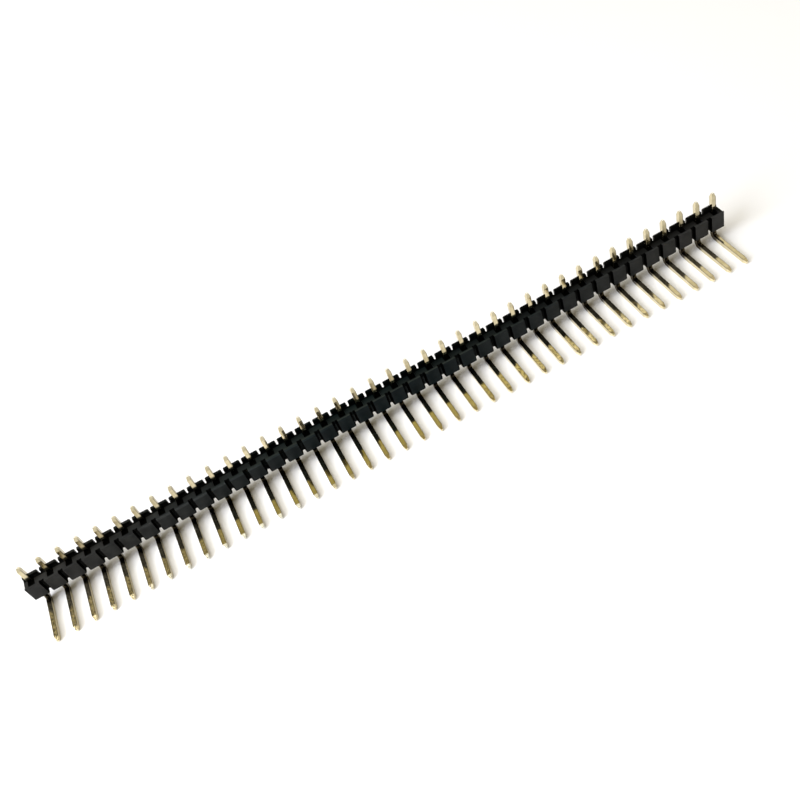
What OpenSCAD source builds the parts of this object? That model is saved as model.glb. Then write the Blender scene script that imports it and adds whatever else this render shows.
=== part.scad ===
// Single-row right-angle pin header, standing on its legs.
// X runs along the row, the legs point to -Y and lie on z = 0, the tails point to +Z.
// The origin is under the centre of the whole strip's box.

/* [Row] */
// Number of pins in the row
pin_count = 40; // [2:1:40]
// Distance from one pin's axis to the next
pitch = 2.54; // [2.4:0.01:3]

/* [Pins] */
// Side of the square wire
wire = 0.6; // [0.5:0.01:0.66]
// Reach of a leg, from the tail's axis to the tip
leg_reach = 7.05; // [4:0.05:12]
// Height of a tail's tip over the leg's axis
tail_rise = 7.27; // [6:0.05:14]
// Radius on the inside of the bend
bend_radius = 0.3; // [0.15:0.05:0.6]
// Length of the tapered end of a leg or tail
tip_length = 0.58; // [0.2:0.02:0.9]
// Side of the square face left on a tapered end
tip_flat = 0.28; // [0.1:0.02:0.4]

/* [Housing] */
// Gap between the leg's upper face and the underside of the housing
standoff = 1.5; // [0.7:0.02:2]
// Height of the housing from its underside to its top plane
body_height = 2.4; // [1.6:0.05:3]
// Distance from the tail's axis to the front face
front_depth = 1.1; // [0.96:0.01:1.4]
// Distance from the tail's axis to the rear face
rear_depth = 0.88; // [0.8:0.01:1.4]
// Distance from an end pin's axis to the cut end of the housing
end_length = 0.92; // [0.6:0.01:0.96]
// Clearance between a pin and each side of its hole, none in a press fit
hole_clearance = 0; // [0:0.01:0.04]

/* [Notches] */
// Depth of the notches between the cells on the front
front_notch_depth = 0.36; // [0.1:0.01:0.4]
// Width of a front or underside notch at its mouth
front_notch_mouth = 0.6; // [0.3:0.02:0.8]
// Width of a front or underside notch at the web
front_notch_floor = 0.28; // [0.1:0.02:0.28]
// Chamfer on the shoulders of a front or underside notch
notch_chamfer = 0.08; // [0.02:0.01:0.1]
// Height of the notches across the underside
underside_notch_height = 0.38; // [0.1:0.02:0.6]
// Depth of the notches between the cells on the rear
rear_notch_depth = 0.48; // [0.1:0.01:0.5]
// Width of a rear notch at the rear face, and of the gap between two rims
rear_notch_mouth = 0.28; // [0.26:0.02:0.6]
// Width of a rear notch at the web
rear_notch_floor = 0.22; // [0.1:0.02:0.24]

/* [Rims and pockets] */
// Height of the rim behind each pin over the top plane
rim_height = 0.46; // [0.35:0.02:1.5]
// Thickness of the rims
rim_thickness = 0.36; // [0.15:0.01:0.4]
// Radius of a rim's upper corners
rim_corner = 0.18; // [0.05:0.01:0.3]
// Width of the pocket round each pin, along the row
pocket_width = 0.9; // [0.7:0.02:1.1]
// Distance from the tail's axis to the pocket's front wall
pocket_front = 0.76; // [0.4:0.02:0.78]
// Distance from the tail's axis to the pocket's rear wall
pocket_rear = 0.44; // [0.36:0.02:0.46]
// Depth of the pocket below the top plane
pocket_depth = 0.36; // [0.1:0.02:1]

/* [Cut ends] */
// Height of the burr left on the front corner of each cut end
burr_height = 0.16; // [0.05:0.01:0.3]
// Length of that burr along the row, and its width from front to back
burr_length = 0.18; // [0.05:0.01:0.3]

/* [Hidden] */
$fn = 48;
// What a cutting shape runs past the face that it opens
cut_over = 1;
row_length = (pin_count - 1) * pitch;
body_length = row_length + 2 * end_length;
leg_axis_z = wire / 2;
underside_z = wire + standoff;
top_z = underside_z + body_height;
// The strip's box runs from the legs' tips to the rear face
tail_axis_y = (leg_reach - rear_depth) / 2;
bend_axis_offset = bend_radius + wire / 2;

function pin_x(i) = (i - (pin_count + 1) / 2) * pitch;
function pin_name(i) = str("pin_", i < 10 ? "0" : "", i);

// Side view of a square bar that stands on the X axis and tapers at its far end
module tapered_outline(bar_length) {
    shoulder = bar_length - tip_length;
    polygon([
        [-wire / 2, 0], [wire / 2, 0], [wire / 2, shoulder],
        [tip_flat / 2, bar_length], [-tip_flat / 2, bar_length], [-wire / 2, shoulder]
    ]);
}

// Square bar along +Z, tapered on all four sides at its far end
module tapered_bar(bar_length) {
    intersection() {
        rotate([90, 0, 0])
            linear_extrude(height = wire, center = true)
                tapered_outline(bar_length);
        rotate([90, 0, 90])
            linear_extrude(height = wire, center = true)
                tapered_outline(bar_length);
    }
}

// Quarter turn of square wire that joins the leg to the tail
module bend() {
    translate([0, -bend_axis_offset, leg_axis_z + bend_axis_offset])
        rotate([0, 90, 0])
            rotate_extrude(angle = 90)
                translate([bend_radius, -wire / 2])
                    square(wire);
}

// One pin, with its tail's axis on the Z axis
module pin() {
    tail_start = leg_axis_z + bend_axis_offset;
    union() {
        translate([0, 0, tail_start])
            tapered_bar(leg_axis_z + tail_rise - tail_start);
        bend();
        translate([0, -bend_axis_offset, leg_axis_z])
            rotate([90, 0, 0])
                tapered_bar(leg_reach - bend_axis_offset);
    }
}

// Place of the middle of the web or cut end after pin i
function boundary_x(i) = pin_x(i) + pitch / 2;

// Outline of a notch that opens at 0 and is cut up to its web
module notch_outline(depth, mouth, floor_width, chamfer) {
    polygon([
        [-mouth / 2, -cut_over], [mouth / 2, -cut_over],
        [mouth / 2, 0], [mouth / 2 - chamfer, chamfer],
        [floor_width / 2, depth], [-floor_width / 2, depth],
        [chamfer - mouth / 2, chamfer], [-mouth / 2, 0]
    ]);
}

// Outline of a notch on the front or the underside, which are alike but for their depth
module cell_notch(depth) {
    notch_outline(depth, front_notch_mouth, front_notch_floor, notch_chamfer);
}

// Plan of the moulding, a row of cells joined by webs
module body_plan() {
    difference() {
        translate([-body_length / 2, -front_depth])
            square([body_length, front_depth + rear_depth]);
        for (i = [0:pin_count]) {
            translate([boundary_x(i), -front_depth])
                cell_notch(front_notch_depth);
            translate([boundary_x(i), rear_depth])
                mirror([0, 1])
                    notch_outline(rear_notch_depth, rear_notch_mouth, rear_notch_floor, 0);
        }
    }
}

// Notches across the underside, which leave the webs higher than the cells' feet
module underside_notches() {
    for (i = [0:pin_count])
        translate([boundary_x(i), rear_depth + cut_over, underside_z])
            rotate([90, 0, 0])
                linear_extrude(height = front_depth + rear_depth + 2 * cut_over)
                    cell_notch(underside_notch_height);
}

// Front view of a rim, from its left end to its right end
module rim_outline(left, right) {
    translate([-left, 0])
        square([left + right, rim_height - rim_corner]);
    translate([rim_corner - left, 0])
        square([left + right - 2 * rim_corner, rim_height]);
    for (x = [rim_corner - left, right - rim_corner])
        translate([x, rim_height - rim_corner])
            circle(rim_corner);
}

// Rim behind pin i, cut to the end of the housing behind the first and last pin
module rim(i) {
    rim_half = (pitch - rear_notch_mouth) / 2;
    end_half = min(rim_half, end_length);
    translate([pin_x(i), rear_depth, top_z])
        rotate([90, 0, 0])
            linear_extrude(height = rim_thickness)
                rim_outline(i == 1 ? end_half : rim_half, i == pin_count ? end_half : rim_half);
}

// Square hole for one pin, with the pocket round it in the top plane
module pin_opening() {
    hole_side = wire + 2 * hole_clearance;
    translate([-hole_side / 2, -hole_side / 2, underside_z - cut_over])
        cube([hole_side, hole_side, body_height + 2 * cut_over]);
    translate([-pocket_width / 2, -pocket_front, top_z - pocket_depth])
        cube([pocket_width, pocket_front + pocket_rear, pocket_depth + cut_over]);
}

// Burr on the front corner of the right cut end
module cut_burr() {
    translate([body_length / 2, burr_length - front_depth, top_z])
        rotate([90, 0, 0])
            linear_extrude(height = burr_length)
                polygon([[-burr_length, 0], [0, 0], [0, burr_height]]);
}

module housing() {
    color("#1d1d20")
        translate([0, tail_axis_y, 0])
            difference() {
                union() {
                    translate([0, 0, underside_z])
                        linear_extrude(height = body_height)
                            body_plan();
                    for (i = [1:pin_count])
                        rim(i);
                    cut_burr();
                    mirror([1, 0, 0])
                        cut_burr();
                }
                underside_notches();
                for (i = [1:pin_count])
                    translate([pin_x(i), 0, 0])
                        pin_opening();
            }
}

module placed_pin(i) {
    color("#d8c48a")
        translate([pin_x(i), tail_axis_y, 0])
            pin();
}

housing();
for (i = [1:pin_count])
    placed_pin(i);
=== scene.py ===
"""Looks of the right-angle pin header: black moulded housing and gold-plated pins."""
import math

import bpy
from mathutils import Euler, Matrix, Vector

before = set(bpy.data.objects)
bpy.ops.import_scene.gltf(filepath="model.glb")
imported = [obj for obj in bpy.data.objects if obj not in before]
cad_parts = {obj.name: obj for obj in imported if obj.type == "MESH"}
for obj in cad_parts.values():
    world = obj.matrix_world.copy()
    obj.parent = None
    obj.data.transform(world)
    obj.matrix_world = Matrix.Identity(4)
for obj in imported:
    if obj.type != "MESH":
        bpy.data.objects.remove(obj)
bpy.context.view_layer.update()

MM = 0.001
HOUSING = "housing"
PINS = [name for name in sorted(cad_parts) if name != HOUSING]

# Camera, in millimetres from the origin and degrees
CAMERA_PLACE = (-9.89, -78.85, 91.27)
CAMERA_TURN = (40.266, 15.192, -24.948)
CAMERA_LENS = 42.267
SENSOR_WIDTH = 36.0

# Directions are (azimuth, elevation) in degrees. Azimuth 0 is behind the part, 90 to its right.
# Lamps: name, direction, distance in millimetres, angular radius in degrees, share of the light
# on the floor, colour and whether metal mirrors it
LAMPS = [
    ("window", (-102, 30), 700, 18, 0.44, (0.98, 1.035, 1.17), True),
    ("ceiling", (-82, 78), 460, 31, 0.64, (1.0, 0.985, 0.95), False),
]
# Light of the room on dull surfaces, which the lamps light already
ROOM_FILL = (0.12, 0.088, 0.02)
# Room that metal mirrors
ROOM = (0.24, 0.20, 0.13)
# Soft patches in that room: direction, inner and outer radius in degrees, colour
PATCHES = [
    ((180, 35), 30, 62, (0.05, 0.045, 0.035)),
    ((-27, 47), 8, 24, (0.36, 0.32, 0.19)),
    ((43, 44), 12, 36, (0.95, 0.90, 0.73)),
    ((7, 47), 4, 18, (0.53, 0.46, 0.15)),
    ((20, 82), 6, 14, (0.34, 0.29, 0.13)),
    ((-75, 70), 15, 21, (1.25, 1.2, 1.05)),
]
WHITE = (1.0, 1.0, 1.0)

FLOOR_ALBEDO = 0.97
# Half the floor's side, in metres
FLOOR_REACH = 3.0
# How far the floor lies under the legs, in millimetres
FLOOR_GAP = 0.002
# How bright the floor looks by itself far from the part, where the lamps no longer reach, and
# the distances from the part over which that glow sets in, in millimetres
FAR_GLOW = 0.9
GLOW_RANGE = (120, 700)

# Sizes and places on the part, in millimetres, that the materials go by
PITCH = 2.54
# Front side of the webs between the cells
FRONT_WEB = 2.36
# Front wall of the pockets
POCKET_FRONT = 2.32
UNDERSIDE = 2.1
TOP = 4.5
TAIL_AXIS = 3.085
# Start of the tails' tapers, and a height over their tips
TAPER_START = 6.99
OVER_TAIL = 7.7

# Share of a normal along an axis over which its face comes to count as facing that way
FACING = (0.5, 0.9)
# The same for the crowned faces of the drawn wire, which leave out its rounded edges
FLAT = (0.90, 0.97)
# Slope of the crowned faces of a leg and a tail
LEG_LEAN = 0.05
TAIL_LEAN = 0.05

# Widths of the rounded edges, in millimetres, and the least angles in degrees that are rounded
EDGE_HOUSING, ANGLE_HOUSING = 0.04, 30
EDGE_PIN, ANGLE_PIN = 0.025, 12
# Distance in millimetres over which the CAD's vertices are joined before that
WELD_REACH = 0.0005

# Colours of the plastic at the middle of the row and at its ends, over its cloudy noise. The
# ends' lighter colour is painted light
PLASTIC_MIDDLE = [(0.3, (0.0022, 0.0055, 0.0068)), (0.7, (0.005, 0.0100, 0.0118))]
PLASTIC_ENDS = [(0.3, (0.020, 0.020, 0.020)), (0.7, (0.031, 0.031, 0.030))]
# Painted sheen on the top round the middle of the row: colours of its front half, and of the
# strip along its edge
TOP_FRONT = (0.014, 0.0175, 0.016)
TOP_STRIP = (0.019, 0.0235, 0.0215)

# Colours of the plating over its patchy noise, of the painted shade on it under the housing, and
# of the tails' cut ends
PLATING = [(0.35, (0.57, 0.50, 0.32)), (0.65, (0.67, 0.59, 0.40))]
BEND_PAINTED_SHADE = (0.03, 0.02, 0.01)
CUT_END = (0.86, 0.83, 0.72)
# Shares of the plating's colour that specks, scuffs and the painted highlight on the leg tips
# leave
SPECKS = [(0.40, (0.25, 0.24, 0.22)), (0.56, (1.3, 1.3, 1.3))]
SCUFFS = [(0.40, (0.52, 0.49, 0.40)), (0.54, (1.5, 1.48, 1.42))]
TIP_PAINTED_HIGHLIGHT = (1.0, 1.12, 1.5)


def direction(azimuth, elevation):
    """The unit vector from the part towards an azimuth and elevation."""
    a, e = math.radians(azimuth), math.radians(elevation)
    return Vector((math.cos(e) * math.sin(a), math.cos(e) * math.cos(a), math.sin(e)))


def grey(value):
    """A colour with the same value in all three channels."""
    return (value, value, value)


def add_node(tree, kind, **settings):
    """A shader node with the given properties, and inputs given as a dict."""
    node = tree.nodes.new(kind)
    inputs = settings.pop("inputs", {})
    for key, value in settings.items():
        setattr(node, key, value)
    for key, value in inputs.items():
        node.inputs[key].default_value = value
    return node


def feed(tree, node, values):
    """Gives a node's inputs, in their order, sockets to follow or plain values."""
    for socket, value in zip(node.inputs, values):
        if isinstance(value, bpy.types.NodeSocket):
            tree.links.new(value, socket)
        else:
            socket.default_value = value


def number_math(tree, operation, *values):
    """Result of a Math node."""
    node = add_node(tree, "ShaderNodeMath", operation=operation)
    feed(tree, node, values)
    return node.outputs["Value"]


def vector_math(tree, operation, *values, output="Vector"):
    """Result of a Vector Math node."""
    node = add_node(tree, "ShaderNodeVectorMath", operation=operation)
    feed(tree, node, values)
    return node.outputs[output]


def axes(tree, vector):
    """X, Y and Z of a vector."""
    node = add_node(tree, "ShaderNodeSeparateXYZ")
    feed(tree, node, [vector])
    return [node.outputs[axis] for axis in "XYZ"]


def coordinates(tree, kind):
    """Texture coordinates, of which Object and Normal are in the part's own frame."""
    return add_node(tree, "ShaderNodeTexCoord").outputs[kind]


def new_material(name):
    """A node material, its tree and its Principled shader."""
    material = bpy.data.materials.new(name)
    material.use_nodes = True
    tree = material.node_tree
    shader = tree.nodes["Principled BSDF"]
    return material, tree, shader


def ramp(tree, source, stops):
    """A colour ramp fed by source, with stops as (place, colour)."""
    node = add_node(tree, "ShaderNodeValToRGB")
    elements = node.color_ramp.elements
    while len(elements) < len(stops):
        elements.new(0.5)
    for element, (place, colour) in zip(elements, stops):
        element.position = place
        element.color = (*colour, 1.0)
    tree.links.new(source, node.inputs["Fac"])
    return node.outputs["Color"]


def noise(tree, place, size_mm, detail=3.0, roughness=0.5):
    """Noise whose blobs are about size_mm across."""
    node = add_node(tree, "ShaderNodeTexNoise",
                    inputs={"Scale": 1.0 / (size_mm * MM), "Detail": detail,
                            "Roughness": roughness})
    tree.links.new(place, node.inputs["Vector"])
    return node.outputs["Fac"]


def map_range(tree, source, low, high, start=0.0, end=1.0):
    """source from start..end to low..high, held at both ends."""
    node = add_node(tree, "ShaderNodeMapRange",
                    inputs={"From Min": start, "From Max": end, "To Min": low, "To Max": high})
    tree.links.new(source, node.inputs["Value"])
    return node.outputs["Result"]


def rise(tree, source, low, high, most=1.0):
    """0 below one place and most above another, both in millimetres."""
    return map_range(tree, source, 0.0, most, low * MM, high * MM)


def fall(tree, source, low, high):
    """1 below one place and 0 above another, both in millimetres."""
    return map_range(tree, source, 1.0, 0.0, low * MM, high * MM)


def times(tree, first, *others):
    """Product of the sockets."""
    for other in others:
        first = number_math(tree, "MULTIPLY", first, other)
    return first


def between(tree, source, low, high, soft=0.03):
    """1 where source lies between two places in millimetres, with soft edges."""
    return times(tree, rise(tree, source, low - soft, low + soft),
                 fall(tree, source, high - soft, high + soft))


def facing(tree, share):
    """1 on the faces whose normal has a large share along an axis."""
    return map_range(tree, share, 0.0, 1.0, *FACING)


def facing_back(tree, share):
    """1 on the faces whose normal has a large share against an axis."""
    start, full = FACING
    return map_range(tree, share, 1.0, 0.0, -full, -start)


def mix(tree, factor, first, second, blend="MIX", clamp=False):
    """Colour mix of first and second, each a colour or a socket."""
    node = add_node(tree, "ShaderNodeMix", data_type="RGBA", blend_type=blend, clamp_result=clamp)
    feed(tree, node, [factor])
    colours = [socket for socket in node.inputs if socket.type == "RGBA"]
    for socket, value in zip(colours, (first, second)):
        if isinstance(value, tuple):
            socket.default_value = (*value, 1.0)
        else:
            tree.links.new(value, socket)
    return [socket for socket in node.outputs if socket.type == "RGBA"][0]


def tone(tree, mask, colour, share):
    """colour, times share where mask is 1."""
    return mix(tree, mask, colour, mix(tree, 1.0, colour, share, "MULTIPLY"))


def bump(tree, height, distance_mm, strength, normal):
    """Normal bumped by distance_mm for a height from 0 to 1. None is the surface's own normal."""
    node = add_node(tree, "ShaderNodeBump",
                    inputs={"Distance": distance_mm * MM, "Strength": strength})
    tree.links.new(height, node.inputs["Height"])
    if normal is not None:
        tree.links.new(normal, node.inputs["Normal"])
    return node.outputs["Normal"]


def housing_painted_light(tree, place, colour):
    """Paints shade into the plastic in its recesses, on the rims and towards the right of the
    top.

    It paints highlights on the cells' front upper edges and sheen on the front of the top, and
    the painted shade darkens its specular tint too. The result is the colour and the share of the
    sheen that is left."""
    x, y, z = axes(tree, place)
    _, normal_y, normal_z = axes(tree, coordinates(tree, "Normal"))
    up = facing(tree, normal_z)
    to_front = facing_back(tree, normal_y)
    # Distance along the row to the nearest web
    web = number_math(tree, "PINGPONG", x, PITCH / 2 * MM)
    # Stretches of the row
    middle = between(tree, x, -10, 10, 3)
    off_middle = rise(tree, number_math(tree, "ABSOLUTE", x), 9, 14)
    right = rise(tree, x, -10, 35, 0.75)
    not_left = rise(tree, x, -35, -15, 0.8)
    centre = between(tree, x, -22, 18, 6)
    # In front of the webs, and so in the front notches where it isn't on a cell
    front = fall(tree, y, FRONT_WEB, FRONT_WEB + 0.05)

    # Painted highlight on the front upper edges of the cells, left of the middle
    painted_edge_highlight = times(tree, between(tree, x, -34, -9, 4),
                 between(tree, z, TOP - 0.3, TOP + 0.1, 0.06), fall(tree, y, 2.03, 2.12))
    colour = tone(tree, painted_edge_highlight, colour, grey(2.2))
    # Painted sheen: the top is lighter towards the front round the middle of the row
    graded = times(tree, up, centre, map_range(tree, y, 0.85, 0.0, 2.0 * MM, 3.0 * MM))
    colour = mix(tree, graded, colour, TOP_FRONT)
    # Painted sheen on the strip along the top's front edge
    strip = times(tree, up, centre, fall(tree, y, 2.2, POCKET_FRONT))
    colour = mix(tree, strip, colour, TOP_STRIP)

    # Zones of painted shade, each with the share of colour and sheen that is left there
    zones = [
        # Painted shade on the walls of the front notches
        (times(tree, between(tree, web, 0.14, 0.32, 0.015), front), 0.01),
        # Painted shade on the webs between those walls, away from the middle of the row
        (times(tree, between(tree, web, -0.2, 0.14, 0.015),
               between(tree, y, 2.2, FRONT_WEB, 0.02), off_middle), 0.2),
        # Painted shade on the walls and floors of the pockets
        (times(tree, between(tree, y, POCKET_FRONT, 3.9, 0.02),
               between(tree, z, 3.9, TOP - 0.06, 0.03)), 0.3),
        # Painted shade on all of the pockets in front of the pins
        (times(tree, between(tree, web, 0.85, 1.5), between(tree, y, 2.27, 3.2)), 0.25),
        # Painted shadow of the rims on the top at their foot
        (times(tree, between(tree, y, 3.2, 3.62, 0.05),
               between(tree, z, 4.4, TOP + 0.05)), 0.12),
        # Painted shade on the upper edges of the rims
        (times(tree, rise(tree, z, TOP + 0.35, TOP + 0.42), not_left), 0.3),
        # Painted shade on the top behind its front strip, towards the right of the row, and more
        # so towards the rims
        (times(tree, up, right, rise(tree, y, 2.27, 2.33)), 0.3),
        (times(tree, up, right, rise(tree, y, 2.35, 2.9)), 0.4),
        # Painted shade on the walls and shoulders of the front notches at the middle of the row
        (times(tree, between(tree, web, 0.1, 0.38, 0.015), front, middle), 0.01),
        # Painted shade on the fronts of the rims
        (times(tree, to_front, rise(tree, z, TOP, TOP + 0.05)), 0.3),
    ]
    sheen = WHITE
    for mask, left_over in zones:
        colour = tone(tree, mask, colour, grey(left_over))
        sheen = mix(tree, mask, sheen, grey(left_over))
    return colour, sheen


def housing_material():
    """Black glass-filled plastic with a fine mould texture."""
    material, tree, shader = new_material("housing_plastic")
    place = coordinates(tree, "Object")
    cloud = noise(tree, place, 1.6, detail=2.0)
    grain = noise(tree, place, 0.09, detail=4.0, roughness=0.65)
    fine = noise(tree, place, 0.03, detail=2.0)
    # 0 at the middle of the row and 1 at its ends, towards which light is painted into the colour
    end = rise(tree, number_math(tree, "ABSOLUTE", axes(tree, place)[0]), 8, 46)
    plain = mix(tree, end, ramp(tree, cloud, PLASTIC_MIDDLE), ramp(tree, cloud, PLASTIC_ENDS))
    colour, sheen = housing_painted_light(tree, place, plain)
    tree.links.new(colour, shader.inputs["Base Color"])
    tree.links.new(sheen, shader.inputs["Specular Tint"])
    # The recesses are duller, too
    dull = number_math(tree, "MAXIMUM", map_range(tree, grain, 0.26, 0.40),
                       map_range(tree, sheen, 0.9, 0.2))
    tree.links.new(dull, shader.inputs["Roughness"])
    grained = bump(tree, grain, 0.004, 0.5, None)
    tree.links.new(bump(tree, fine, 0.002, 0.4, grained), shader.inputs["Normal"])
    shader.inputs["IOR"].default_value = 1.5
    shader.inputs["Specular IOR Level"].default_value = 0.07
    return material


def wire_crown(tree, x):
    """Normal of the drawn wire: its legs lean a little to the front, and its tails down."""
    start, full = FLAT
    normal = coordinates(tree, "Normal")
    _, normal_y, normal_z = axes(tree, normal)
    # The legs lean less left of the middle and at the right end
    share = times(tree, map_range(tree, between(tree, x, -36, -12, 4), 1.0, 0.6),
                  map_range(tree, x, 1.0, 0.5, 26 * MM, 42 * MM))
    lean = add_node(tree, "ShaderNodeCombineXYZ")
    leg = times(tree, map_range(tree, normal_z, 0.0, -LEG_LEAN, start, full), share)
    tree.links.new(leg, lean.inputs["Y"])
    tail = map_range(tree, normal_y, -TAIL_LEAN, 0.0, -full, -start)
    tree.links.new(tail, lean.inputs["Z"])
    leaning = vector_math(tree, "ADD", normal, lean.outputs["Vector"])
    return vector_math(tree, "NORMALIZE", leaning)


def pin_colour(tree, place):
    """Colour of the plating with painted shade and highlights, and how matt it is from 0, metal,
    to 1.
    """
    x, y, z = axes(tree, place)
    normal_x, normal_y, normal_z = axes(tree, coordinates(tree, "Normal"))
    up = facing(tree, normal_z)
    to_front = facing_back(tree, normal_y)
    to_left = facing_back(tree, normal_x)
    to_right = facing(tree, normal_x)
    # Stretches of a pin
    leg = fall(tree, y, 1.6, 1.8)
    outer = fall(tree, y, -0.9, -0.3)
    tip = fall(tree, y, -3.5, -3.4)
    tail = rise(tree, z, TOP, TOP + 0.1)
    cut_end = times(tree, up, tail)
    # Painted shade on the bend and the stretch of wire just under the housing
    shaded_bend = times(tree, rise(tree, y, 1.7, 2.2), fall(tree, z, UNDERSIDE, UNDERSIDE + 0.1))
    # Place across the wire, from its left to its right, and the wire's edges
    half_pitch = PITCH / 2 * MM
    across = number_math(tree, "WRAP", number_math(tree, "SUBTRACT", x, half_pitch),
                         half_pitch, -half_pitch)
    edges = rise(tree, number_math(tree, "ABSOLUTE", across), 0.20, 0.25)
    right_edge = rise(tree, across, 0.16, 0.22)
    left_edge = fall(tree, across, -0.25, -0.20)
    rear_edge = rise(tree, y, TAIL_AXIS + 0.18, TAIL_AXIS + 0.24)
    front_edge = fall(tree, y, TAIL_AXIS - 0.25, TAIL_AXIS - 0.20)
    # Stretches of the row
    far_left = fall(tree, x, -40, -30)
    left = fall(tree, x, -42, -16)
    left_half = fall(tree, x, -18, -8)
    right = rise(tree, x, 15, 35)
    not_right = fall(tree, x, 15, 35)

    colour = ramp(tree, noise(tree, place, 0.9, detail=3.0), PLATING)
    colour = mix(tree, shaded_bend, colour, mix(tree, 0.9, colour, BEND_PAINTED_SHADE))
    # Specks on the legs at the left of the row
    speck = noise(tree, place, 0.22, detail=4.0, roughness=0.7)
    colour = tone(tree, times(tree, left, leg, up), colour, ramp(tree, speck, SPECKS))
    # Scuffs on the outer part of the legs right of the middle
    scuff = noise(tree, place, 0.3, detail=3.0, roughness=0.6)
    scuffed = times(tree, between(tree, x, 12, 36, 4), outer, up)
    colour = tone(tree, scuffed, colour, ramp(tree, scuff, SCUFFS))
    # Zones of painted shade and painted highlight, each with the share of colour that is left
    # there
    zones = [
        # Painted shade on the upper edges of the legs
        (times(tree, edges, leg, up), 0.5),
        # Painted shade on edges of the tails, and painted highlights on their left faces and
        # front left edges
        (times(tree, right_edge, tail), 0.5),
        (times(tree, rear_edge, tail), 0.6),
        (times(tree, to_left, tail), 1.16),
        (times(tree, left_edge, front_edge, tail), 1.2),
        # Painted shade on the fronts of the tails at the right of the row, and on their lower
        # ends left of the middle
        (times(tree, to_front, tail, right), 0.8),
        (times(tree, to_front, left_half, between(tree, z, TOP, 5.65, 0.12)), 0.5),
        # Painted highlight on the right faces of the tails at the far left
        (times(tree, to_right, tail, far_left), 1.3),
        # Painted shade on the fronts of the tails' tapers, but for those at the right
        (times(tree, to_front, not_right,
               between(tree, z, TAPER_START, OVER_TAIL, 0.05)), 0.76),
        # Painted highlight on the tips of the legs
        (tip, 1.3),
    ]
    for mask, left_over in zones:
        colour = tone(tree, mask, colour, grey(left_over))
    # Left of the middle the leg tips get a nearly white painted highlight
    colour = tone(tree, times(tree, tip, between(tree, x, -36, -12, 4)), colour, TIP_PAINTED_HIGHLIGHT)
    # The cut ends of the tails are dull and nearly white
    colour = mix(tree, cut_end, colour, CUT_END, clamp=True)

    # A haze on the plating of the legs, which is thicker towards the ends of the row
    away = number_math(tree, "ABSOLUTE", x)
    haze = map_range(tree, away, 0.004, 0.055, 24 * MM, 44 * MM)
    matt = number_math(tree, "MAXIMUM", times(tree, haze, leg), cut_end)
    return colour, matt


def pin_material():
    """Pale gold plating on drawn square wire."""
    material, tree, shader = new_material("pin_plating")
    place = coordinates(tree, "Object")
    scratch = noise(tree, place, 0.07, detail=3.0)
    colour, matt = pin_colour(tree, place)
    tree.links.new(colour, shader.inputs["Base Color"])
    tree.links.new(map_range(tree, matt, 1.0, 0.0), shader.inputs["Metallic"])
    tree.links.new(map_range(tree, scratch, 0.06, 0.14), shader.inputs["Roughness"])
    crown = wire_crown(tree, axes(tree, place)[0])
    tree.links.new(bump(tree, scratch, 0.0015, 0.35, crown), shader.inputs["Normal"])
    return material


def dress(node, material, edge_mm, angle):
    """Gives a CAD node its material and rounds its edges over the given angle."""
    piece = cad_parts[node]
    piece.data.materials.clear()
    piece.data.materials.append(material)
    weld = piece.modifiers.new("weld", "WELD")
    weld.merge_threshold = WELD_REACH * MM
    bevel = piece.modifiers.new("edge", "BEVEL")
    bevel.width = edge_mm * MM
    bevel.segments = 2
    bevel.limit_method = "ANGLE"
    bevel.angle_limit = math.radians(angle)


def floor_material():
    """Matt white, which glows far from the part for the camera and in what metal mirrors."""
    material, tree, shader = new_material("floor_white")
    place = coordinates(tree, "Object")
    tints = [(0.0, grey(FLOOR_ALBEDO - 0.01)), (1.0, grey(FLOOR_ALBEDO + 0.01))]
    colour = ramp(tree, noise(tree, place, 60.0, detail=2.0), tints)
    tree.links.new(colour, shader.inputs["Base Color"])
    shader.inputs["Roughness"].default_value = 1.0
    shader.inputs["Specular IOR Level"].default_value = 0.0
    shader.inputs["Emission Color"].default_value = (*WHITE, 1.0)
    reach = vector_math(tree, "LENGTH", place, output="Value")
    start, end = GLOW_RANGE
    far = map_range(tree, reach, 0.0, FAR_GLOW, start * MM, end * MM)
    path = add_node(tree, "ShaderNodeLightPath")
    seen = path.outputs["Is Camera Ray"]
    for kind in ("Is Glossy Ray", "Is Transmission Ray"):
        seen = number_math(tree, "MAXIMUM", seen, path.outputs[kind])
    tree.links.new(times(tree, far, seen), shader.inputs["Emission Strength"])
    return material


def add_floor():
    """A plain white table top."""
    mesh = bpy.data.meshes.new("floor")
    signs = [(-1, -1), (1, -1), (1, 1), (-1, 1)]
    corners = [(a * FLOOR_REACH, b * FLOOR_REACH, 0) for a, b in signs]
    mesh.from_pydata(corners, [], [(0, 1, 2, 3)])
    mesh.materials.append(floor_material())
    floor = bpy.data.objects.new("floor", mesh)
    bpy.context.scene.collection.objects.link(floor)
    floor.location.z = -FLOOR_GAP * MM


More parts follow.
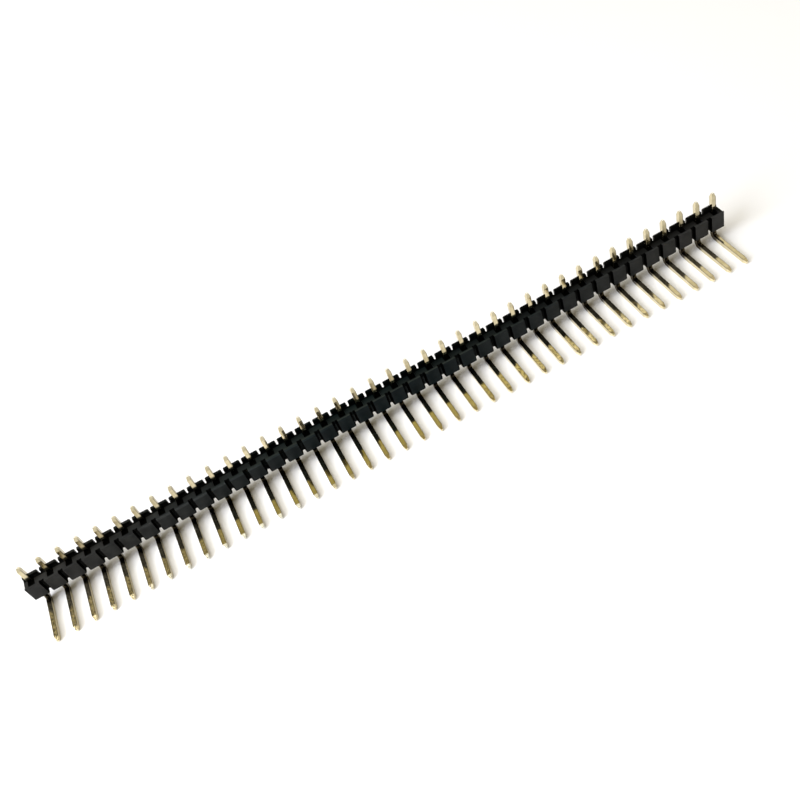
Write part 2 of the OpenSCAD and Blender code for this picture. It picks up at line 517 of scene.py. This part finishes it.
def add_lamp(name, place, distance, radius, share, colour, mirrored):
    """A round lamp that gives the floor under the part its share of light from a direction."""
    way = direction(*place)
    data = bpy.data.lights.new(name, "AREA")
    data.shape = "DISK"
    data.size = 2 * distance * MM * math.tan(math.radians(radius))
    # A disk of radiance p / (pi area) that faces the part, seen at its angular radius
    spread = math.pi * math.sin(math.radians(radius)) ** 2
    radiance = share / (FLOOR_ALBEDO * way.z * spread / math.pi)
    data.energy = radiance * math.pi * math.pi * (data.size / 2) ** 2
    data.color = colour
    lamp = bpy.data.objects.new(name, data)
    bpy.context.scene.collection.objects.link(lamp)
    lamp.location = way * distance * MM
    lamp.rotation_euler = (-way).to_track_quat("-Z", "Y").to_euler()
    lamp.visible_glossy = mirrored


def add_world():
    """Dim warm room with a few brighter patches in what metal mirrors, and a white backdrop."""
    world = bpy.data.worlds.new("room")
    bpy.context.scene.world = world
    world.use_nodes = True
    tree = world.node_tree
    way = coordinates(tree, "Generated")
    colour = ROOM
    for place, inner, outer, tint in PATCHES:
        dot = vector_math(tree, "DOT_PRODUCT", way, direction(*place), output="Value")
        fade = add_node(tree, "ShaderNodeMapRange", interpolation_type="SMOOTHSTEP",
                        inputs={"From Min": math.cos(math.radians(outer)),
                                "From Max": math.cos(math.radians(inner))})
        tree.links.new(dot, fade.inputs["Value"])
        colour = mix(tree, fade.outputs["Result"], colour, tint)
    path = add_node(tree, "ShaderNodeLightPath")
    colour = mix(tree, path.outputs["Is Diffuse Ray"], colour, ROOM_FILL)
    colour = mix(tree, path.outputs["Is Camera Ray"], colour, WHITE)
    tree.links.new(colour, tree.nodes["Background"].inputs["Color"])


def add_camera():
    """The camera from which the part is shown."""
    data = bpy.data.cameras.new("camera")
    data.sensor_width = SENSOR_WIDTH
    data.lens = CAMERA_LENS
    data.clip_start = 0.001
    camera = bpy.data.objects.new("camera", data)
    bpy.context.scene.collection.objects.link(camera)
    camera.location = Vector(CAMERA_PLACE) * MM
    camera.rotation_euler = Euler([math.radians(a) for a in CAMERA_TURN])
    bpy.context.scene.camera = camera


add_camera()
add_world()
add_floor()
for lamp in LAMPS:
    add_lamp(*lamp)
plastic = housing_material()
plating = pin_material()
dress(HOUSING, plastic, EDGE_HOUSING, ANGLE_HOUSING)
for name in PINS:
    dress(name, plating, EDGE_PIN, ANGLE_PIN)
bpy.context.scene.view_settings.view_transform = "Standard"
